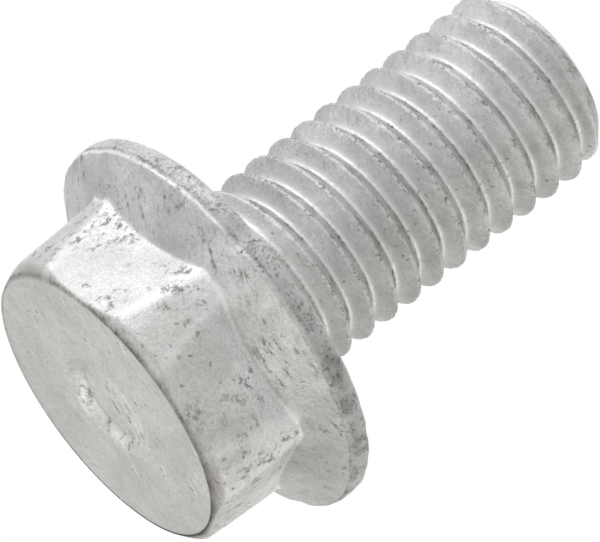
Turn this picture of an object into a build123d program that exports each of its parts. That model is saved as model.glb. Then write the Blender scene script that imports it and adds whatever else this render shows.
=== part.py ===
from build123d import *
import os
from math import cos, pi, radians, sin, tan

# Hexagon flange bolt, M12 x 1.75 x 24, threaded to the head.
# Millimetres. +Z runs from the head to the point, and z = 0 is the flange's bearing face.

# thread, right-hand with a single start
thread_d = 11.88            # over the crests
thread_pitch = 1.75
thread_depth = 1.07         # crest to root, as rolled
crest_width = 0.22
flank_angle = 30.0          # each flank to the radial direction
shank_length = 24.0         # bearing face to the end
point_d = 9.44              # end face, inside the point's chamfer
point_chamfer = 1.15        # along the axis
thread_start = 2.6          # bearing face to the middle of the groove where it begins
runout_turns = 0.75         # the groove deepens over this much of a turn
runout_depth = 0.07         # how deep the groove is where it begins
thread_clock = 20.0         # degrees, where the groove begins round the shank
under_head_fillet = 0.5

# flange
flange_d = 24.56
rim_height = 1.5            # bearing face to where the cone begins
cone_angle = 30.5           # slope of the flange's upper face
rim_break = 0.4             # chamfer between the rim and the bearing face

# hexagon
across_flats = 17.88
head_height = 9.08          # bearing face to the top of the head
corner_d_base = 20.0        # over the corner lands, at the flange
corner_d_top = 18.9         # over the corner lands, below the chamfer
chamfer_d = 17.7            # circle where the chamfer meets the top
chamfer_depth = 0.55
flare_width = 0.9           # steeper foot of the cone where it meets the flats
flare_angle = 45.0

# dimple in the top of the head
dimple_d = 6.8
dimple_floor_d = 5.3
dimple_depth = 0.65

helix_points = 16           # points a turn that the helix is laid through
cutter_clearance = 0.25     # the groove's cutter stands this far clear of the crests


def turned(points):
    """A solid turned about Z from (radius, z) points."""
    return revolve(make_face(Polyline(*[(r, 0, z) for r, z in points], close=True)), Axis.Z)


def flange():
    """The flange with its cone and rim, and the fillet under it, turned in one."""
    rim_r = flange_d / 2
    shank_r = thread_d / 2
    flat_r = across_flats / 2
    flare_r = flat_r + flare_width
    cone_foot = rim_height + (rim_r - flare_r) * tan(radians(cone_angle))
    cone_top = cone_foot + flare_width * tan(radians(flare_angle))
    return turned(
        [
            (0, -cone_top),
            (flat_r, -cone_top),
            (flare_r, -cone_foot),
            (rim_r, -rim_height),
            (rim_r, -rim_break),
            (rim_r - rim_break, 0),
            (shank_r + under_head_fillet, 0),
            (shank_r, under_head_fillet),
            (0, under_head_fillet),
        ]
    )


def hexagon():
    """The hexagon, with turned corner lands that widen to the top, and the chamfered top edge."""
    flats = RegularPolygon(across_flats / 2, 6, major_radius=False)
    prism = extrude(flats, amount=-head_height)
    envelope = turned(
        [
            (0, -rim_height),
            (corner_d_base / 2, -rim_height),
            (corner_d_top / 2, chamfer_depth - head_height),
            (chamfer_d / 2, -head_height),
            (0, -head_height),
        ]
    )
    return prism & envelope


def dimple():
    """The shallow round recess in the top of the head."""
    slope = (dimple_d - dimple_floor_d) / 2 / dimple_depth
    outside = dimple_d / 2 + slope * cutter_clearance
    return turned(
        [
            (0, dimple_depth - head_height),
            (dimple_floor_d / 2, dimple_depth - head_height),
            (outside, -head_height - cutter_clearance),
            (0, -head_height - cutter_clearance),
        ]
    )


def helix(radius, offset, first, last, lift):
    """A helix between two counts of turns. At its first turn it stands further out by the lift."""
    steps = round((last - first) * helix_points)
    points = []
    for i in range(steps + 1):
        turn = first + i / helix_points
        angle = 2 * pi * turn
        r = radius + lift * (1 - i / steps) ** 2
        z = thread_start + thread_pitch * turn + offset
        points.append(Vector(r * cos(angle), r * sin(angle), z))
    return Edge.make_spline(points)


def groove(first, last, lift=0.0):
    """A cutter for the thread: a trapezoid carried along the helix, faced with ruled surfaces."""
    root_r = thread_d / 2 - thread_depth
    rim_r = thread_d / 2 + cutter_clearance
    spread = tan(radians(flank_angle))
    half_rim = (thread_pitch - crest_width) / 2 + cutter_clearance * spread
    half_root = half_rim - (thread_depth + cutter_clearance) * spread
    section = ((root_r, -half_root), (root_r, half_root), (rim_r, half_rim), (rim_r, -half_rim))
    lines = [helix(radius, offset, first, last, lift) for radius, offset in section]
    sides = [
        Face.make_surface_from_curves(a, b) for a, b in zip(lines, lines[1:] + lines[:1])
    ]
    ends = [
        Face(Wire.make_polygon([line @ end for line in lines], close=True)) for end in (0, 1)
    ]
    return Solid(Shell(sides + ends))


def shank():
    """The threaded shank, let into the flange, with its end turned down to the point."""
    rod = Pos(0, 0, -rim_height) * Solid.make_cylinder(thread_d / 2, shank_length + rim_height)
    slope = point_chamfer / (thread_d - point_d) * 2
    outside_r = thread_d / 2 + cutter_clearance
    point = turned(
        [
            (0, -rim_height),
            (outside_r, -rim_height),
            (outside_r, shank_length - slope * (outside_r - point_d / 2)),
            (point_d / 2, shank_length),
            (0, shank_length),
        ]
    )
    turns = (shank_length - thread_start) / thread_pitch + 1
    fading = groove(0, runout_turns, thread_depth - runout_depth)
    return (rod - groove(runout_turns, turns) - fading) & point


bolt = flange() + hexagon() - dimple() + Rot(0, 0, thread_clock) * shank()
bolt.label = "flange_bolt"
os.makedirs("parts", exist_ok=True)
export_step(bolt, "parts/flange_bolt.step")
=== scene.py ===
import math

import bpy
import numpy as np
from bpy.props import FloatProperty, FloatVectorProperty, IntProperty, PointerProperty
from mathutils import Matrix, Vector


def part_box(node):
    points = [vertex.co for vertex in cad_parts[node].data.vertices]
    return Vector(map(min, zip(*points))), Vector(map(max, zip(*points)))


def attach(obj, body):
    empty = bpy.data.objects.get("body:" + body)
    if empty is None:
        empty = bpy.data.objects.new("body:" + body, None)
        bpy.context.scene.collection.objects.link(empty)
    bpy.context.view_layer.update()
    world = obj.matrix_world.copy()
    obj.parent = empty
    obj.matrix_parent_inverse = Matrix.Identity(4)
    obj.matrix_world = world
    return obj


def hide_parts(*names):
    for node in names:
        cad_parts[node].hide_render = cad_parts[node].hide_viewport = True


bl_info = {
    "name": "Flange Bolt",
    "version": (1, 0, 0),
    "blender": (4, 5, 0),
    "location": "3D View > Sidebar > Flange Bolt",
    "description": "Builds a zinc-coated hexagon flange bolt and its stage",
    "category": "Object",
}

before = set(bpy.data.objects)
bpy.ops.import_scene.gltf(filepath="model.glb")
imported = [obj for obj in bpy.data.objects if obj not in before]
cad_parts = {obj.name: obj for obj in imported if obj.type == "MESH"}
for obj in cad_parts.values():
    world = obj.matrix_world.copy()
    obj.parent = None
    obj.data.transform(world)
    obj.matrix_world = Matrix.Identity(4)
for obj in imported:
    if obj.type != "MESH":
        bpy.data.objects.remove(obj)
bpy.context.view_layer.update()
NODE_LOW, NODE_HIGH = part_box("flange_bolt")
MM = 0.001
TAU = 2 * math.pi

# Over this width the flats, corner lands, chamfer and point blend into each other.
EDGE_ROUND = 0.12 * MM
# Height above the rim over which the hexagon's offset grows from nothing.
ASIDE_RISE = 3.0 * MM
# Height over the bearing face below which the head's rings lie closer.
FOOT_ZONE = 4.6 * MM
# Pitches of thread beyond either end of the shank, which fold flat onto its end circles.
SPARE_PITCHES = 3
# The thread's flanks lie this far from square to the axis.
FLANK_ANGLE = math.radians(30)

# A long lens, so that the view has next to no perspective.
LENS, SENSOR = 1000.0, 36.0
FLOOR_RADIUS, FLOOR_RINGS, FLOOR_COLUMNS = 0.6, 40, 96
WHITE = (1.0, 1.0, 1.0, 1.0)
# Each lamp's direction in the camera's right, up and back, its distance and diameter in metres,
# and its colour.
LAMPS = {
    "key": ((-0.35, 0.93, 0.2), 0.3, 0.26, (0.97, 0.99, 1.0)),
    "side": ((-0.93, 0.1, 0.35), 0.3, 0.2, (0.93, 0.97, 1.0)),
    "front": ((-0.5, 0.62, 0.6), 0.35, 0.2, (0.96, 0.98, 1.0)),
    "low": ((0.45, -0.88, -0.1), 0.3, 0.15, (1.0, 0.92, 0.78)),
    "fill": ((-0.5, -0.8, 0.33), 0.3, 0.15, (1.0, 0.97, 0.92)),
}


def length(name, default, text):
    """A length property in metres, given here in millimetres."""
    return FloatProperty(
        name=name, description=text, default=default * MM, unit="LENGTH", precision=5, min=0.0
    )


def angle(name, default, text):
    """An angle property, given here in degrees."""
    return FloatProperty(
        name=name, description=text, default=math.radians(default), subtype="ANGLE"
    )


def colour(name, default, text):
    """A colour property in linear red, green and blue."""
    return FloatVectorProperty(
        name=name, description=text, default=default, subtype="COLOR", size=3, min=0.0, max=1.0
    )


def share(name, default, text):
    """A plain number from 0 to 1."""
    return FloatProperty(name=name, description=text, default=default, min=0.0, max=1.0)


def cells(name, default, text):
    """A noise's scale in cells per metre."""
    return FloatProperty(name=name, description=text, default=default, min=0.0)


def power(name, default):
    """A lamp's power in watts."""
    return FloatProperty(name=name, description="Power of this lamp", default=default, unit="POWER")


class FlangeBoltSizes(bpy.types.PropertyGroup):
    """Sizes of the bolt. The overall ones come from the frame."""

    flange_d: length("Flange diameter", (NODE_HIGH.x - NODE_LOW.x) / MM, "Over the flange's rim")
    head_height: length("Head height", -NODE_LOW.z / MM, "Bearing face to the top of the head")
    shank_length: length("Shank length", NODE_HIGH.z / MM, "Bearing face to the end of the bolt")
    rim_height: length("Rim height", 1.5, "Bearing face to the start of the cone")
    rim_top_round: length("Rim top rounding", 0.3, "Between the cone and the rim")
    rim_bottom_round: length("Rim bottom rounding", 0.5, "Between the rim and the bearing face")
    cone_angle: angle("Cone angle", 30.5, "Slope of the flange's upper face")
    across_flats: length("Across flats", 17.88, "Width of the hexagon over two flats")
    corner_d_base: length("Corner diameter at the flange", 20.0, "Over the corner lands")
    corner_d_top: length("Corner diameter at the top", 18.9, "Over the corner lands")
    chamfer_d: length("Chamfer circle", 17.7, "Where the chamfer meets the top")
    chamfer_depth: length("Chamfer depth", 0.55, "Along the axis")
    foot_fillet: length("Foot fillet", 0.35, "Between the hexagon and the cone")
    dimple_d: length("Dimple diameter", 6.8, "At the top of the head")
    dimple_floor_d: length("Dimple floor diameter", 5.3, "At its floor")
    dimple_depth: length("Dimple depth", 0.65, "Below the top of the head")
    under_fillet: length("Fillet under the head", 0.5, "Between bearing face and shank")
    thread_d: length("Thread diameter", 11.88, "Over the crests")
    pitch: length("Pitch", 1.75, "Axial distance from crest to crest")
    thread_depth: length("Thread depth", 1.07, "Crest to root")
    crest_width: length("Crest width", 0.22, "Along the axis")
    root_fill: length("Root filling", 0.07, "Coating that rounds the bottom of the groove")
    thread_start: length("Thread start", 2.6, "Bearing face to where the groove begins")
    thread_clock: angle("Thread clock", 20.0, "Where the groove begins round the shank")
    runout_turns: FloatProperty(
        name="Run-out", description="Turns over which the groove deepens", default=0.9
    )
    runout_lead: FloatProperty(
        name="Run-out lead", description="Turns before the start where it begins", default=0.5
    )
    point_d: length("Point diameter", 9.44, "Of the flat end")
    point_chamfer: length("Point chamfer", 1.15, "Along the axis")
    head_aside: length("Head offset", 0.1, "How far the hexagon lies beside the shank's axis")
    head_aside_at: angle("Head offset direction", 160.95, "Side to which the hexagon is offset")
    rim_low: length("Rim shortfall", 0.2, "How much the rim falls short on one side")
    rim_low_at: angle("Rim shortfall direction", -22.0, "Side on which the rim falls short")
    nick_at: angle("Nick position", 58.0, "Where the rim is dented")
    # On this side the rim darkens more and the dimple's wall has a painted highlight; the rim's
    # painted highlight is strongest opposite.
    uneven_side_at: angle("Soiled side", 160.95, "Side on which the rim holds more dirt")
    columns: IntProperty(
        name="Columns", description="Steps round the bolt", default=192, min=24, max=384
    )


class FlangeBoltFinish(bpy.types.PropertyGroup):
    """Colours and strengths of the zinc coating and of its wear and dirt, which also paint painted
    highlights and painted shade.
    """

    coat: colour("Coating", (0.60, 0.605, 0.605), "Zinc coating")
    coat_pale: colour("Pale coating", (0.74, 0.745, 0.75), "Paler patches of the coating")
    coat_warm: colour("Stained coating", (0.56, 0.54, 0.495), "Faint yellow-grey stain")
    # Also the colour of the painted highlights on the dimple's wall, the foot, the flange's
    # rounding and the thread's roots.
    worn_and_highlight: colour("Worn edges", (0.88, 0.88, 0.88), "Bare bright edges")
    # Also the colour of the painted shade on the thread's far flanks and round the shank's foot.
    dirt: colour("Dirt", (0.105, 0.097, 0.083), "Dirt in corners and pits")
    crack_at: angle("Crack position", 61.18, "Where the rim is cracked")
    crack_lean: FloatProperty(
        name="Crack lean", description="How far it shifts round for each unit up", default=-0.09
    )
    grain_cells: cells("Grain", 11000.0, "Finest grain, in cells per metre")
    coarse_cells: cells("Coarse grain", 3600.0, "Coarser grain, in cells per metre")
    mottle_cells: cells("Mottle", 1300.0, "Mottling, in cells per metre")
    grain_depth: length("Grain depth", 0.05, "Height of the grain's bump")
    metallic: share("Metallic", 0.45, "How metallic the coating is")
    roughness: share("Roughness", 0.40, "Roughness of the clean coating")


class FlangeBoltStage(bpy.types.PropertyGroup):
    """Camera, lamps, floor and background."""

    view_azimuth: angle("View azimuth", 70.95, "Side of the bolt that faces the camera")
    view_tilt: angle("View tilt", 20.5, "How far the axis points away from the camera")
    view_roll: angle("View roll", 37.45, "Angle of the axis above level, as the camera sees it")
    view_width: length("View width", 33.73, "Width of the view at the bolt")
    aim_height: length("Aim height", 5.03, "Height on the axis that the camera looks at")
    aim_aside: length("Aim aside", 0.66, "How far beside the axis the camera looks")
    key_power: power("Key lamp", 0.25)
    side_power: power("Side lamp", 0.08)
    front_power: power("Front lamp", 0.31)
    low_power: power("Low lamp", 0.10)
    fill_power: power("Fill lamp", 0.16)
    sky: colour("Sky light", (0.57, 0.565, 0.545), "Even light from all sides")
    floor: colour("Floor", (0.86, 0.86, 0.86), "Matt pale floor")


def soft_min(a, b, width):
    """The smaller of two fields, joined by a parabola where they differ by less than the width."""
    gap = np.clip(1 - np.abs(a - b) / width, 0, 1)
    return np.minimum(a, b) - gap * gap * width / 4


def soft_max(a, b, width):
    """The larger of two fields, joined by a parabola as in soft_min."""
    return -soft_min(-a, -b, width)


def ramp(x, low, high):
    """0 below low, 1 above high, and a smooth cubic between."""
    t = np.clip((x - low) / (high - low), 0, 1)
    return t * t * (3 - 2 * t)


def bump_at(x, centre, width):
    """A bell of height 1 at the centre: e to the minus square of the distance over the width."""
    return np.exp(-(((x - centre) / width) ** 2))


def off_by(turn, centre):
    """The angle from a centre, from minus half a turn to half a turn."""
    return np.mod(turn - centre + math.pi, TAU) - math.pi


def ripple(x, y, z, size, seed, waves=24):
    """Smooth seeded noise, mostly from -1 to 1, from sine waves in random directions.

    Each wave is 1/1.5 to 1/0.6 times the size long. Their sum is divided by 5, which is about the
    square root of their number.
    """
    rng = np.random.default_rng(seed)
    way = rng.normal(size=(waves, 3))
    way *= (TAU / size * rng.uniform(0.6, 1.5, waves) / np.linalg.norm(way, axis=1))[:, None]
    phase = rng.uniform(0, TAU, waves)
    total = np.zeros_like(x)
    for k in range(waves):
        total = total + np.sin(way[k, 0] * x + way[k, 1] * y + way[k, 2] * z + phase[k])
    return total / 5.0


def arc(centre, radius, start, end, steps):
    """Points (r, z) on a circular arc between two angles in degrees, ends included."""
    t = np.radians(np.linspace(start, end, steps))
    return np.stack([centre[0] + radius * np.cos(t), centre[1] + radius * np.sin(t)], 1)


def rounding_centre(s):
    """Radius and height of the centre of the arc that joins the flange's cone to its rim.

    The centre lies one arc radius inside the rim. Its height is that of the rim's upper edge, plus
    the arc radius times (1 less the slope's sine) over the slope's cosine.
    """
    reach = (1 - math.sin(s.cone_angle)) / math.cos(s.cone_angle)
    return s.flange_d / 2 - s.rim_top_round, -s.rim_height + s.rim_top_round * reach


def top_grid(s, turn):
    """The head's top, in rings from its centre to the chamfer: radius, height, dirt, and wear with
    a painted highlight.

    The height is the top's, plus the dimple's depth times a smooth step across the dimple's wall,
    plus a slight bell where the top meets the chamfer. Dirt lies round the dimple's floor and at
    the chamfer. Wear lies on the dimple's edge, and a painted highlight on one side of its wall.
    """
    floor_r, mouth_r, chamfer_r = s.dimple_floor_d / 2, s.dimple_d / 2, s.chamfer_d / 2
    rings = np.concatenate(
        [
            np.linspace(0, floor_r * 0.92, 10),
            np.linspace(floor_r * 0.94, mouth_r * 1.05, 18),
            np.linspace(mouth_r * 1.1, chamfer_r - 0.35 * MM, 22),
            chamfer_r - np.array([0.22, 0.12, 0.06, 0.025]) * MM,
        ]
    )
    r = rings[:, None]
    dimple = 1 - ramp(r, floor_r - 0.1 * MM, mouth_r + 0.06 * MM)
    fall = 0.03 * MM * bump_at(r, chamfer_r, 0.08 * MM)
    corner = bump_at(r, floor_r, 0.16 * MM)
    rim = bump_at(r, chamfer_r, 0.12 * MM)
    edge = bump_at(r, mouth_r, 0.1 * MM)
    wall = bump_at(r, (floor_r + mouth_r) / 2, 0.3 * MM)
    # Painted highlight on one side of the dimple's wall, carried in the wear field.
    highlight_side = 0.5 + 0.5 * np.cos(turn - s.uneven_side_at)
    z = -s.head_height + s.dimple_depth * dimple + fall
    return np.broadcast_arrays(r, z, 0.35 * corner + 0.9 * rim, 0.1 * edge + 0.12 * wall * highlight_side)


def side_grid(s, turn):
    """The head's side, in rings from the chamfer down to the rim: radius, height, dirt, and wear
    with a painted highlight.

    The hexagon's radius is the least of three, softly joined: the flats, which is the apothem over
    the cosine of the angle from the flat's middle, the tapering corner land, and the chamfer's
    cone. A soft maximum joins it to the flange's cone. Dirt lies along the foot and the chamfer.
    Wear lies along the ridges beside the corner lands, at the corners' feet and on the chamfer's
    lip. A painted highlight lies along the foot's upper edge.
    """
    chamfer_r = s.chamfer_d / 2
    tangent_z = rounding_centre(s)[1] - s.rim_top_round * math.cos(s.cone_angle)
    depths = np.concatenate(
        [
            np.array([0.0, 0.03, 0.08, 0.14, 0.22, 0.3, 0.4, 0.5, 0.6, 0.75, 0.9, 1.1]) * MM,
            np.linspace(1.4 * MM, s.head_height - FOOT_ZONE, 8)[:-1],
            np.linspace(s.head_height - FOOT_ZONE, s.head_height + tangent_z, 46),
        ]
    )
    d = depths[:, None]
    z = d - s.head_height
    flats = s.across_flats / 2 / np.cos(np.mod(turn, TAU / 6) - TAU / 12)
    along = (d - s.chamfer_depth) / (s.head_height - s.rim_height - s.chamfer_depth)
    taper = (s.corner_d_base - s.corner_d_top) * np.maximum(along, 0)
    land = (s.corner_d_top + taper) / 2
    cut = chamfer_r + 0.02 * MM + d * (s.corner_d_top / 2 - chamfer_r) / s.chamfer_depth
    side = soft_min(soft_min(flats, land, EDGE_ROUND), cut, EDGE_ROUND)
    cone = s.flange_d / 2 + (z + s.rim_height) / math.tan(s.cone_angle)
    over = side - cone

    foot = bump_at(over, 0.1 * MM, 0.35 * MM)
    tip = bump_at(flats - land, 0.0, 0.3 * MM) * bump_at(over, 0.25 * MM, 0.35 * MM)
    ridge = bump_at(flats - land, 0.0, 0.14 * MM) * ramp(over, 0, 0.4 * MM)
    lip = bump_at(np.minimum(flats, land) - cut, 0.0, 0.1 * MM) * (d < 1.0 * MM)
    # Painted highlight along the foot's upper edge, carried in the wear field.
    glint = bump_at(over, 0.35 * MM, 0.25 * MM)
    top_line = bump_at(d, 0.04 * MM, 0.15 * MM)
    dirt = 0.45 * foot * (1 - 0.8 * tip) + 0.4 * lip + 1.2 * top_line
    wear = 0.6 * ridge + 1.5 * tip + 0.35 * lip + 0.5 * glint
    return np.broadcast_arrays(soft_max(side, cone, s.foot_fillet), z, dirt, wear)


def rim_grid(s, turn):
    """The flange's rim, its underside and the fillet to the shank: radius, height, dirt with
    painted shade, and wear with a painted highlight.

    The rings follow a turned profile of arcs and straight runs. Dirt lies on the rounding's upper
    edge and on the rim, which darkens more towards one side. Painted shade lies round the shank's
    foot. A painted highlight is a bright line on the rounding, strongest on the far side from
    that one, and a little wear lies on the rim's lower edge.
    """
    rim_r, shank_r = s.flange_d / 2, s.thread_d / 2
    centre_r, round_z = rounding_centre(s)
    low_r, fillet = s.rim_bottom_round, s.under_fillet
    tangent = math.degrees(s.cone_angle) - 90
    bearing = np.linspace(rim_r - low_r * 1.3, shank_r + fillet * 1.3, 14)
    profile = np.concatenate(
        [
            arc((centre_r, round_z), s.rim_top_round, tangent, 0, 8)[1:],
            np.stack([np.full(6, rim_r), np.linspace(round_z, -low_r, 8)[1:-1]], 1),
            arc((rim_r - low_r, -low_r), low_r, 0, 90, 10),
            np.stack([bearing, np.zeros_like(bearing)], 1),
            arc((shank_r + fillet, fillet), fillet, 270, 180, 9),
        ]
    )
    r, z = profile[:, :1], profile[:, 1:]
    # The rim's band darkens more towards that side; its painted highlight grows away from it.
    side_cosine = np.cos(turn - s.uneven_side_at)
    edge = bump_at(z, round_z + 0.17 * MM, 0.13 * MM) * (r > centre_r)
    band = ramp(r, rim_r - 0.4 * MM, rim_r) * (0.85 + 0.35 * side_cosine)
    # Painted highlight: a bright line on the rounding, carried in the wear field.
    glint = bump_at(z, round_z - 0.13 * MM, 0.11 * MM) * (0.6 - 0.5 * side_cosine)
    low = bump_at(z, -low_r * 0.6, 0.2 * MM) * (r > rim_r - low_r)
    # Painted shade round the shank's foot, carried in the dirt field.
    neck_shade = bump_at(r, shank_r, 0.7 * MM)
    dirt = np.maximum(1.3 * edge, np.maximum(band * (1 - 0.8 * glint), 0.8 * neck_shade))
    return np.broadcast_arrays(r, z, dirt, 0.35 * low + glint)


def head_marks(s, turn, r, z):
    """Forging marks on the head: the radius and height after them.

    The rim wavers inwards by the size of two seeded noises, is nicked by a narrow bell at one
    angle, and falls short by a broad bell at another, each on a ramp that grows towards the rim.
    The top is hollowed by the positive part of two finer noises.
    """
    rim_r = s.flange_d / 2
    x, y = r * np.cos(turn), r * np.sin(turn)
    on_rim = ramp(r, rim_r - 1.2 * MM, rim_r - 0.1 * MM) * (z > -s.rim_height - 0.5 * MM)
    waver = 0.06 * ripple(x, y, z, 3.2 * MM, 3) + 0.045 * ripple(x, y, z, 1.1 * MM, 4)
    nick = bump_at(off_by(turn, s.nick_at), 0.0, 0.07) * ramp(r, rim_r - 0.9 * MM, rim_r)
    short = bump_at(off_by(turn, s.rim_low_at), 0.0, 0.75) * ramp(r, rim_r - 2.5 * MM, rim_r)
    short = s.rim_low * short * (z > -s.head_height * 0.6)
    on_top = (r < s.chamfer_d / 2 - 0.3 * MM) & (z < -s.rim_height)
    face = 0.012 * ripple(x, y, z, 2.6 * MM, 5) + 0.006 * ripple(x, y, z, 0.9 * MM, 6)
    inwards = (np.abs(waver) + 0.36 * nick) * MM * on_rim + short
    return r - inwards, z + np.maximum(face + 0.02, 0) * MM * on_top


def head_grid(s, turn):
    """The head from the centre of its top to the shank's foot: radius, height, dirt with painted
    shade, and wear with painted highlights.
    """
    parts = (top_grid(s, turn), side_grid(s, turn), rim_grid(s, turn))
    r, z, dirt, wear = (np.concatenate(field) for field in zip(*parts))
    r, z = head_marks(s, turn, r, z)
    return r, z, dirt, wear


def thread_profile(s):
    """One pitch of the thread as (share of the pitch, depth below the crest, dirt with painted
    shade, wear with painted highlight).

    It runs from the middle of a groove over the crest to the next groove. Over a flank the share
    grows by the depth times the tangent of the flank's angle over the pitch. The root is rounded
    and lifted by the filling, and the crest has the shallow seam that rolling leaves. The flank
    that faces the head comes first, clean, with a painted highlight at its root. The one that
    faces the point carries dirt and painted shade.
    """
    half_crest = s.crest_width / 2 / s.pitch
    flank = s.thread_depth * math.tan(FLANK_ANGLE) / s.pitch
    root = 0.5 - half_crest - flank
    share_of = np.concatenate(
        [
            root * np.array([0, 0.5, 0.95]),
            root + flank * np.array([0.09, 0.3, 0.65, 0.9, 1.0]),
            0.5 - half_crest * np.array([0.6, 0.25, 0]),
        ]
    )
    depth = np.array([1.0, 0.99, 0.955, 0.885, 0.7, 0.35, 0.11, 0.03, 0.0, 0.01, 0.03])
    filled = depth * s.thread_depth - s.root_fill * ramp(depth, 0.75, 1.0)
    near_dirt = np.array([0.3, 0.0, 0.0, 0.0, 0.05, 0.1, 0.3, 0.6, 0.9, 0.9, 0.9])
    # The far flank is dark from dirt and painted shade.
    far_dirt_and_shade = np.array([1.0, 1.0, 1.0, 1.0, 1.0, 1.0, 1.0, 1.0, 0.9, 0.9, 0.9])
    # On the near flank the first rows, at the root, are a painted highlight; at the crest it is
    # wear.
    near_wear_and_highlight = np.array([0.5, 0.7, 0.9, 0.9, 0.35, 0.0, 0.0, 0.2, 0.5, 0.5, 0.4])
    far_wear = np.array([0.1, 0.0, 0.0, 0.0, 0.0, 0.0, 0.0, 0.1, 0.25, 0.2, 0.1])
    mirror = slice(-2, 0, -1)
    return (
        np.concatenate([share_of, 1 - share_of[mirror]]),
        np.concatenate([filled, filled[mirror]]),
        np.concatenate([near_dirt, far_dirt_and_shade[mirror]]),
        np.concatenate([near_wear_and_highlight, far_wear[mirror]]),
    )


def shank_grid(s, turn):
    """The threaded shank: radius, height, dirt with painted shade, wear with painted highlight, and
    the number of rows in a pitch.

    At an angle t from the thread's start, a row stands at the start height plus the pitch times
    (whole pitches + share in the pitch + t over a full turn), so the rows climb the helix. One turn
    on, a row meets the row one whole pitch above. Heights are held between the foot and the end,
    so the rows beyond either lie on its circle. The radius is the crest's less the profile's
    depth, which grows from nothing over the run-out. Seeded pits mark the crests, and the radius
    is held inside the point's cone by a soft minimum.
    """
    low, high, crest_r, point_r = s.under_fillet, s.shank_length, s.thread_d / 2, s.point_d / 2
    part, depth, dirt, wear = thread_profile(s)
    pitches = int(math.ceil((high - low) / s.pitch)) + SPARE_PITCHES
    whole = np.arange(-SPARE_PITCHES, pitches)
    count = np.repeat(whole, len(part))[:, None]
    step = np.tile(part, len(whole))[:, None]
    depth, dirt, wear = (np.tile(v, len(whole))[:, None] for v in (depth, dirt, wear))
    z = s.thread_start + s.pitch * (count + step + turn / TAU)
    inside = (z > low) & (z < high)
    held = np.clip(z, low, high)
    climbed = np.round(step) + count + turn / TAU
    sunk = ramp(climbed, -s.runout_lead, s.runout_turns - s.runout_lead)

    r = crest_r - depth * sunk
    on_crest = ramp(-depth, -0.16 * MM, -0.04 * MM)
    pits = np.maximum(ripple(r * np.cos(turn), r * np.sin(turn), z, 0.55 * MM, 7), 0) * on_crest
    r = r - 0.055 * MM * pits * sunk
    to_end = high - held
    point = point_r + to_end * (crest_r - point_r) / s.point_chamfer
    r = np.where(to_end < 2 * s.point_chamfer, soft_min(r, point, EDGE_ROUND), r)
    r = np.where(z >= high, point_r, r)
    r = np.where(z <= low, crest_r, r)
    wear = wear * inside * ramp(point - r, 0.0, 0.2 * MM)
    return r, held, dirt * sunk * inside, wear, len(part)


def end_grid(s, turn):
    """The flat end, in rings from its edge to its centre: radius, height, dirt and wear.

    The height is the shank's length less the size of a seeded noise, on a ramp from the edge.
    """
    edge_r = s.point_d / 2
    r = edge_r * np.linspace(1, 0, 12)[:, None] * np.ones_like(turn)
    hollow = np.abs(ripple(r * np.cos(turn), r * np.sin(turn), 0 * r, 2.0 * MM, 8))
    z = s.shank_length - 0.03 * MM * hollow * ramp(edge_r - r, 0, 0.8 * MM)
    return r, z, 0 * r, 0.5 * bump_at(r, edge_r, 0.15 * MM)


def weld(points, quads, fields):
    """Merges points within 10 nanometres, splits quads in two and drops the flat ones."""
    key = np.round(points * 1e8).astype(np.int64)
    _, first, back = np.unique(key, axis=0, return_index=True, return_inverse=True)
    quads = back.reshape(-1)[quads]
    halves = np.concatenate([quads[:, [0, 1, 2]], quads[:, [0, 2, 3]]])
    a, b, c = halves.T
    halves = halves[(a != b) & (b != c) & (c != a)]
    return points[first], halves, [field[first] for field in fields]


def grid_quads(rows, columns, start=0, shift=0):
    """Quads over a grid of rows by columns. The last column meets the first one, shift rows on."""
    i, j = np.meshgrid(np.arange(rows - 1 - shift), np.arange(columns), indexing="ij")
    right = (j + 1) % columns
    up = np.where(j + 1 == columns, i + shift, i)
    row = np.stack([i, up, up + 1, i + 1], -1)
    column = np.stack([j, right, right, j], -1)
    return (start + row * columns + column).reshape(-1, 4)


def bolt_surface(s):
    """The whole bolt's closed skin: points, triangles, and at each point the dirt with painted
    shade and the wear with painted highlights.

    Head, shank and end are grids over the same angles. A point lies at its radius times the cosine
    and sine of its angle. Above the rim, the head's points shift aside on a ramp.
    """
    turn = np.arange(s.columns) * TAU / s.columns
    spun = turn + s.thread_clock
    sheets = ((*head_grid(s, spun), 0), shank_grid(s, turn), (*end_grid(s, spun), 0))
    points, quads, dirt_and_shade_parts, wear_and_highlight_parts, start = [], [], [], [], 0
    for r, z, dirt, wear, shift in sheets:
        points.append(np.stack([r * np.cos(spun), r * np.sin(spun), z], -1).reshape(-1, 3))
        quads.append(grid_quads(len(r), s.columns, start, shift))
        dirt_and_shade_parts.append(np.broadcast_to(dirt, r.shape).reshape(-1))
        wear_and_highlight_parts.append(np.broadcast_to(wear, r.shape).reshape(-1))
        start += r.size
    points = np.concatenate(points)
    aside = s.head_aside * np.array([math.cos(s.head_aside_at), math.sin(s.head_aside_at), 0.0])
    points = points + ramp(-points[:, 2:], s.rim_height, s.rim_height + ASIDE_RISE) * aside
    return weld(points, np.concatenate(quads), [np.concatenate(dirt_and_shade_parts), np.concatenate(wear_and_highlight_parts)])


def add_object(name, points, faces, fields=None, smooth=True):
    """A mesh object at the origin from whole arrays, with a float attribute for each field."""
    mesh = bpy.data.meshes.new(name)
    mesh.from_pydata(points.tolist(), [], faces.tolist())
    for field, values in (fields or {}).items():
        attribute = mesh.attributes.new(field, "FLOAT", "POINT")
        attribute.data.foreach_set("value", np.asarray(values, np.float32))
    mesh.polygons.foreach_set("use_smooth", np.full(len(mesh.polygons), smooth))
    mesh.validate()
    mesh.update()
    piece = bpy.data.objects.new(name, mesh)
    bpy.context.scene.collection.objects.link(piece)
    return piece


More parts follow.
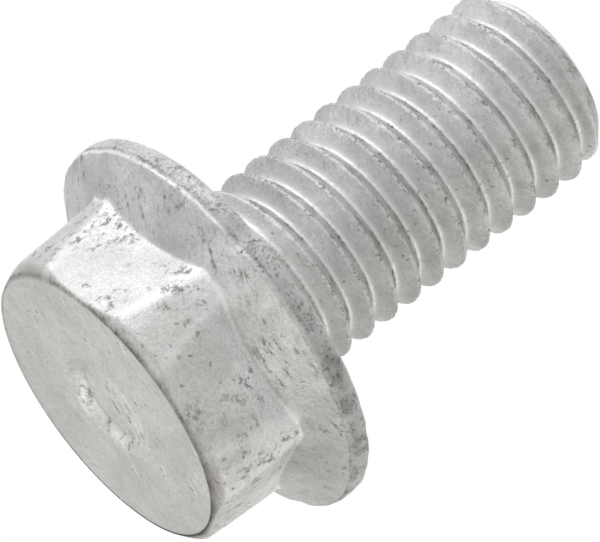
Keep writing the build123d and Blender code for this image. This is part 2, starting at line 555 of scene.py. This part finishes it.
class Nodes:
    """Short calls that add and join shader nodes."""

    def __init__(self, tree):
        self.tree = tree
        tree.nodes.clear()

    def add(self, kind, inputs=None, **settings):
        """A node with its settings and inputs. An input is a value or another node's socket."""
        node = self.tree.nodes.new(kind)
        for key, value in settings.items():
            setattr(node, key, value)
        for key, value in (inputs or {}).items():
            if isinstance(value, bpy.types.NodeSocket):
                self.tree.links.new(value, node.inputs[key])
            else:
                node.inputs[key].default_value = value
        return node

    def math(self, operation, a, b=0.5, clamp=False):
        """Arithmetic on two values."""
        settings = {"operation": operation, "use_clamp": clamp}
        return self.add("ShaderNodeMath", {0: a, 1: b}, **settings).outputs[0]

    def times(self, a, b):
        """The product of two values."""
        return self.math("MULTIPLY", a, b)

    def vector(self, operation, inputs):
        """Vector arithmetic, as a node."""
        return self.add("ShaderNodeVectorMath", inputs, operation=operation)

    def noise(self, at, scale, detail=3.0, rough=0.55):
        """Fractal noise, about 0.5 on average. The scale is in cells per metre."""
        inputs = {"Vector": at, "Scale": scale, "Detail": detail, "Roughness": rough}
        return self.add("ShaderNodeTexNoise", inputs).outputs["Fac"]

    def step(self, value, low, high, to_low=0.0, to_high=1.0):
        """Smooth change from one value to another as the input goes from low to high."""
        inputs = {"Value": value, 1: low, 2: high, 3: to_low, 4: to_high}
        settings = {"interpolation_type": "SMOOTHSTEP"}
        return self.add("ShaderNodeMapRange", inputs, **settings).outputs["Result"]

    def mix(self, share_of, a, b, blend="MIX"):
        """Mixes two colours."""
        inputs = {"Factor": share_of, 6: a, 7: b}
        settings = {"data_type": "RGBA", "blend_type": blend}
        return self.add("ShaderNodeMix", inputs, **settings).outputs[2]


def rgba(three):
    """A colour property with full alpha."""
    return (three[0], three[1], three[2], 1.0)


def clean_coat(n, f, s, at, height_at, noises):
    """The coating's colour before wear, dirt and the painted highlights and shade that they carry.

    Clouds mix in the pale colour. Patches, and all that is near the head's top, mix in the warm
    one. It is then multiplied by a tone: fine, coarse and mottled noise, with painted shade that
    darkens the head's top and painted light that brightens the shank.
    """
    grain, coarse, mottle = noises
    top = -s.head_height
    cloud = n.step(n.noise(at, 260.0, 3.0, 0.55), 0.35, 0.65)
    coat = n.mix(cloud, rgba(f.coat), rgba(f.coat_pale))
    patches = n.times(n.step(n.noise(at, 170.0, 4.0, 0.6), 0.5, 0.7), 0.25)
    near_top = n.step(height_at, top + 3.08 * MM, top + 5.08 * MM, 0.3, 0.0)
    coat = n.mix(n.math("MAXIMUM", patches, near_top), coat, rgba(f.coat_warm))

    tone = n.math("ADD", n.step(grain, 0.3, 0.7, -0.12, 0.12), n.step(mottle, 0.3, 0.7, 0.95, 1.05))
    tone = n.math("ADD", tone, n.step(coarse, 0.3, 0.7, -0.07, 0.07))
    # Painted shade: the head's top is darkened.
    on_top = n.step(height_at, top - 0.02 * MM, top + 0.48 * MM, 0.84, 1.0)
    # Painted light: the shank, threads included, is brightened.
    shank_painted_light = n.step(height_at, -1.0 * MM, 2.0 * MM, 0.97, 1.18)
    tone = n.times(tone, n.times(on_top, shank_painted_light))
    even = n.add("ShaderNodeCombineColor", {0: tone, 1: tone, 2: tone}).outputs[0]
    return n.mix(1.0, coat, even, "MULTIPLY")


def speck_mask(n, at):
    """Small dark specks: the middles of a few bent Voronoi cells, more of them in some places."""
    push = n.add("ShaderNodeTexNoise", {"Vector": at, "Scale": 2600.0, "Detail": 3.0})
    push = n.vector("SCALE", {0: push.outputs["Color"], "Scale": 0.6 * MM}).outputs[0]
    bent = n.vector("ADD", {0: at, 1: push}).outputs[0]
    cells = n.add("ShaderNodeTexVoronoi", {"Vector": bent, "Scale": 2600.0})
    pick = n.add("ShaderNodeSeparateColor", {0: cells.outputs["Color"]}).outputs[0]
    size = n.step(pick, 0.6, 1.0, 0.0, 0.34)
    crowd = n.step(n.noise(at, 300.0, 3.0, 0.6), 0.45, 0.62, 0.12, 1.0)
    return n.times(n.math("LESS_THAN", cells.outputs["Distance"], size), crowd)


def smudge_mask(n, s, at, height_at):
    """Drawn-out smudges: stretched noise within broad patches, weaker on the shank and the top."""
    top = -s.head_height
    drawn = {"Vector": at, "Rotation": (0.2, 0.5, 0.6), "Scale": (900.0, 2300.0, 1500.0)}
    drawn_at = n.add("ShaderNodeMapping", drawn).outputs[0]
    smudge = n.step(n.noise(drawn_at, 1.0, 6.0, 0.8), 0.53, 0.64)
    smudge = n.times(smudge, n.step(n.noise(at, 210.0, 2.0), 0.42, 0.55))
    smudge = n.times(smudge, n.step(height_at, 0.0, 3.0 * MM, 1.0, 0.4))
    return n.times(smudge, n.step(height_at, top + 0.02 * MM, top + 0.28 * MM, 0.3, 1.0))


def scratch_mask(n, at):
    """Short fine scratches: noise stretched along a turned axis, within patches."""
    turned = {"Vector": at, "Rotation": (0.4, 0.3, 0.9), "Scale": (420.0, 5200.0, 1500.0)}
    turned_at = n.add("ShaderNodeMapping", turned).outputs[0]
    scratch = n.step(n.noise(turned_at, 1.0, 2.0, 0.5), 0.67, 0.72)
    return n.times(scratch, n.step(n.noise(at, 300.0, 2.0), 0.48, 0.6))


def crack_mask(n, f, s, at, height_at):
    """A crack in the rim: near a leaning plane through the axis that noise bends, and far out."""
    cosine, sine = math.cos(f.crack_at), math.sin(f.crack_at)
    rim_r = s.flange_d / 2
    aside = n.vector("DOT_PRODUCT", {0: at, 1: (-sine, cosine, f.crack_lean)}).outputs["Value"]
    out = n.vector("DOT_PRODUCT", {0: at, 1: (cosine, sine, 0.0)}).outputs["Value"]
    bend = n.step(n.noise(at, 700.0, 2.0), 0.3, 0.7, -0.2 * MM, 0.2 * MM)
    crack = n.step(n.math("ABSOLUTE", n.math("ADD", aside, bend)), 0.04 * MM, 0.2 * MM, 1.0, 0.0)
    crack = n.times(crack, n.step(out, rim_r - 0.88 * MM, rim_r - 0.58 * MM))
    return n.times(crack, n.step(height_at, -s.rim_height - 0.3 * MM, -s.rim_height))


def soil_and_shade_mask(n, f, s, at, height_at, dirt):
    """All dirt and painted shade: the dirt field, which carries painted shade, broken up by noise,
    the crack, the specks and the smudges.
    """
    gaps = n.step(n.noise(at, 4600.0, 4.0, 0.7), 0.45, 0.62)
    wide = n.step(n.noise(at, 700.0, 4.0, 0.65), 0.38, 0.6, 0.45, 1.0)
    packed = n.math("MAXIMUM", gaps, n.step(dirt, 0.8, 1.0, 0.0, 0.6))
    soil_and_shade = n.times(n.times(dirt, packed), wide)
    crack = n.times(crack_mask(n, f, s, at, height_at), n.step(gaps, 0.0, 0.5, 0.4, 1.0))
    soil_and_shade = n.math("MAXIMUM", soil_and_shade, crack)
    soil_and_shade = n.math("MAXIMUM", soil_and_shade, n.times(speck_mask(n, at), 0.55))
    soil_and_shade = n.math("MAXIMUM", soil_and_shade, n.times(smudge_mask(n, s, at, height_at), 0.75))
    return n.math("MAXIMUM", soil_and_shade, n.times(dirt, 0.36), clamp=True)


def zinc_material(f, s):
    """Matt zinc coating: a grained and stained coat, with bright worn edges, scratches and dirt,
    and the painted highlights and painted shade that the wear and dirt fields carry.
    """
    material = bpy.data.materials.new("zinc_coating")
    material.use_nodes = True
    n = Nodes(material.node_tree)
    at = n.add("ShaderNodeTexCoord").outputs["Object"]
    height_at = n.add("ShaderNodeSeparateXYZ", {0: at}).outputs[2]
    # The dirt attribute also carries painted shade, and the wear attribute painted highlights.
    dirt = n.add("ShaderNodeAttribute", attribute_name="dirt").outputs["Fac"]
    wear = n.add("ShaderNodeAttribute", attribute_name="wear").outputs["Fac"]
    grain = n.noise(at, f.grain_cells, 2.0, 0.6)
    coarse = n.noise(at, f.coarse_cells, 3.0, 0.6)
    mottle = n.noise(at, f.mottle_cells, 4.0, 0.65)

    coat = clean_coat(n, f, s, at, height_at, (grain, coarse, mottle))
    # Worn edges and scratches, and the painted highlights that the wear attribute carries.
    edge = n.times(wear, n.step(mottle, 0.25, 0.6, 0.45, 1.0))
    edge = n.math("MAXIMUM", edge, n.times(scratch_mask(n, at), 0.8), clamp=True)
    soil_and_shade = soil_and_shade_mask(n, f, s, at, height_at, dirt)
    # Chips where wear is high, which also falls on some painted highlights.
    chip_and_highlight = n.times(n.step(wear, 0.8, 1.0), n.step(coarse, 0.35, 0.5))
    coat = n.mix(edge, coat, rgba(f.worn_and_highlight))
    coat = n.mix(n.times(soil_and_shade, 0.92), coat, rgba(f.dirt))
    coat = n.mix(chip_and_highlight, coat, rgba(f.worn_and_highlight))

    rough = n.step(mottle, 0.3, 0.7, f.roughness - 0.06, f.roughness + 0.08)
    rough = n.math("ADD", rough, n.times(soil_and_shade, 0.3))
    rough = n.math("SUBTRACT", rough, n.times(edge, 0.1), clamp=True)
    height = n.math("ADD", n.times(grain, 0.4), n.times(coarse, 0.8))
    height = n.math("ADD", height, n.times(mottle, 1.2))
    height = n.math("SUBTRACT", height, n.times(soil_and_shade, 0.5))
    bump = n.add("ShaderNodeBump", {"Strength": 0.9, "Distance": f.grain_depth, "Height": height})
    inputs = {
        "Base Color": coat,
        "Roughness": rough,
        "Metallic": f.metallic,
        "Normal": bump.outputs[0],
    }
    shader = n.add("ShaderNodeBsdfPrincipled", inputs)
    n.add("ShaderNodeOutputMaterial", {"Surface": shader.outputs[0]})
    return material


class FLANGEBOLT_OT_bolt(bpy.types.Operator):
    """Builds the bolt's whole skin and its zinc coating in place of the plain solid"""

    bl_idname = "flangebolt.bolt"
    bl_label = "Build bolt"

    def execute(self, context):
        s, f = context.scene.flangebolt_sizes, context.scene.flangebolt_finish
        points, faces, (dirt, wear) = bolt_surface(s)
        fields = {"dirt": np.clip(dirt, 0, 1), "wear": np.clip(wear, 0, 1)}
        piece = add_object("bolt_skin", points, faces, fields)
        piece.data.materials.append(zinc_material(f, s))
        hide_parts("flange_bolt")
        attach(piece, "root")
        return {"FINISHED"}


def side_vectors(g):
    """Level vectors towards the side that faces the camera, and across it."""
    cosine, sine = math.cos(g.view_azimuth), math.sin(g.view_azimuth)
    return Vector((cosine, sine, 0)), Vector((-sine, cosine, 0))


def camera_axes(g):
    """The camera's right, up and back in the bolt's frame, as the columns of a matrix.

    The bolt's axis lies along the camera's right turned up by the roll, and leans back by the tilt.
    """
    side, across = side_vectors(g)
    axis = Vector((0, 0, 1))
    along = math.cos(g.view_tilt) * axis + math.sin(g.view_tilt) * side
    right = math.cos(g.view_roll) * along + math.sin(g.view_roll) * across
    up = math.sin(g.view_roll) * along - math.cos(g.view_roll) * across
    return Matrix((right, up, right.cross(up))).transposed()


def add_camera(g, axes, target):
    """The camera, as far back as its lens needs for the view's width."""
    data = bpy.data.cameras.new("camera")
    data.sensor_width, data.lens = SENSOR, LENS
    data.clip_start, data.clip_end = 0.01, 10.0
    camera = bpy.data.objects.new("camera", data)
    camera.location = target + axes.col[2] * (g.view_width * LENS / SENSOR)
    camera.rotation_euler = axes.to_euler()
    bpy.context.scene.collection.objects.link(camera)
    bpy.context.scene.camera = camera


def add_lamp(name, axes, target, way, distance, size, watts, tint):
    """A round area lamp. The way to it is given in the camera's right, up and back."""
    lamp = bpy.data.lights.new(name, "AREA")
    lamp.shape, lamp.size, lamp.energy, lamp.color = "DISK", size, watts, tint
    holder = bpy.data.objects.new(name, lamp)
    towards = (axes @ Vector(way)).normalized()
    holder.location = target + towards * distance
    holder.rotation_euler = towards.to_track_quat("Z", "Y").to_euler()
    bpy.context.scene.collection.objects.link(holder)


def floor_material(g):
    """A matt floor that is clear from below and to shadow rays, so that it hides no lamp."""
    material = bpy.data.materials.new("matt_floor")
    material.use_nodes = True
    n = Nodes(material.node_tree)
    at = n.add("ShaderNodeTexCoord").outputs["Object"]
    pale = rgba([min(1.0, value * 1.02) for value in g.floor])
    tone = n.mix(n.noise(at, 40.0, 3.0), rgba(g.floor), pale)
    matt = n.add("ShaderNodeBsdfDiffuse", {"Color": tone}).outputs[0]
    clear = n.add("ShaderNodeBsdfTransparent").outputs[0]
    behind = n.add("ShaderNodeNewGeometry").outputs["Backfacing"]
    shadow_ray = n.add("ShaderNodeLightPath").outputs["Is Shadow Ray"]
    passing = n.math("MAXIMUM", behind, shadow_ray)
    shown = n.add("ShaderNodeMixShader", {0: passing, 1: matt, 2: clear})
    n.add("ShaderNodeOutputMaterial", {"Surface": shown.outputs[0]})
    return material


def add_floor(g, s):
    """The floor: rings at the height of the head's top, from the chamfer's circle outwards."""
    r = np.linspace(s.chamfer_d / 2, FLOOR_RADIUS, FLOOR_RINGS)[:, None]
    turn = np.linspace(0, TAU, FLOOR_COLUMNS, endpoint=False)
    x, y = r * np.cos(turn), r * np.sin(turn)
    points = np.stack([x, y, np.full_like(x, -s.head_height)], -1).reshape(-1, 3)
    facing_up = grid_quads(FLOOR_RINGS, FLOOR_COLUMNS)[:, ::-1]
    points, faces, _ = weld(points, facing_up, [])
    floor = add_object("floor", points, faces, smooth=False)
    floor.data.materials.append(floor_material(g))


def add_surround(g):
    """An even sky that the camera, glossy and transmission rays see as white."""
    world = bpy.data.worlds.new("white_surround")
    world.use_nodes = True
    bpy.context.scene.world = world
    n = Nodes(world.node_tree)
    path = n.add("ShaderNodeLightPath")
    seen = n.math("MAXIMUM", path.outputs["Is Camera Ray"], path.outputs["Is Transmission Ray"])
    seen = n.math("MAXIMUM", seen, path.outputs["Is Glossy Ray"])
    sky = n.mix(seen, rgba(g.sky), WHITE)
    back = n.add("ShaderNodeBackground", {"Color": sky, "Strength": 1.0})
    n.add("ShaderNodeOutputWorld", {"Surface": back.outputs[0]})


class FLANGEBOLT_OT_stage(bpy.types.Operator):
    """Sets the camera, the lamps, the floor and the white background"""

    bl_idname = "flangebolt.stage"
    bl_label = "Build stage"

    def execute(self, context):
        scene = context.scene
        g, s = scene.flangebolt_stage, scene.flangebolt_sizes
        axes = camera_axes(g)
        target = Vector((0, 0, g.aim_height)) + side_vectors(g)[1] * g.aim_aside
        add_camera(g, axes, target)
        for name, (way, distance, size, tint) in LAMPS.items():
            watts = getattr(g, name + "_power")
            add_lamp(name, axes, target, way, distance, size, watts, tint)
        add_floor(g, s)
        add_surround(g)
        scene.view_settings.view_transform = "Standard"
        return {"FINISHED"}


class FLANGEBOLT_PT_panel(bpy.types.Panel):
    """Lists the bolt's operators and its settings"""

    bl_idname = "FLANGEBOLT_PT_panel"
    bl_label = "Flange Bolt"
    bl_space_type = "VIEW_3D"
    bl_region_type = "UI"
    bl_category = "Flange Bolt"

    def draw(self, context):
        layout = self.layout
        for operator in (FLANGEBOLT_OT_bolt, FLANGEBOLT_OT_stage):
            layout.operator(operator.bl_idname)
        for group in GROUPS:
            settings = getattr(context.scene, group)
            box = layout.box()
            for name in settings.bl_rna.properties.keys():
                if name not in ("rna_type", "name"):
                    box.prop(settings, name)


GROUPS = {
    "flangebolt_sizes": FlangeBoltSizes,
    "flangebolt_finish": FlangeBoltFinish,
    "flangebolt_stage": FlangeBoltStage,
}
CLASSES = (*GROUPS.values(), FLANGEBOLT_OT_bolt, FLANGEBOLT_OT_stage, FLANGEBOLT_PT_panel)


def register():
    """Registers the classes and hangs the settings on the scene."""
    for cls in CLASSES:
        bpy.utils.register_class(cls)
    for name, cls in GROUPS.items():
        setattr(bpy.types.Scene, name, PointerProperty(type=cls))


def unregister():
    """Takes the settings and the classes away again."""
    for name in GROUPS:
        delattr(bpy.types.Scene, name)
    for cls in reversed(CLASSES):
        bpy.utils.unregister_class(cls)


def main():
    """Builds everything in order."""
    register()
    bpy.ops.flangebolt.bolt()
    bpy.ops.flangebolt.stage()


if __name__ == "__main__":
    main()
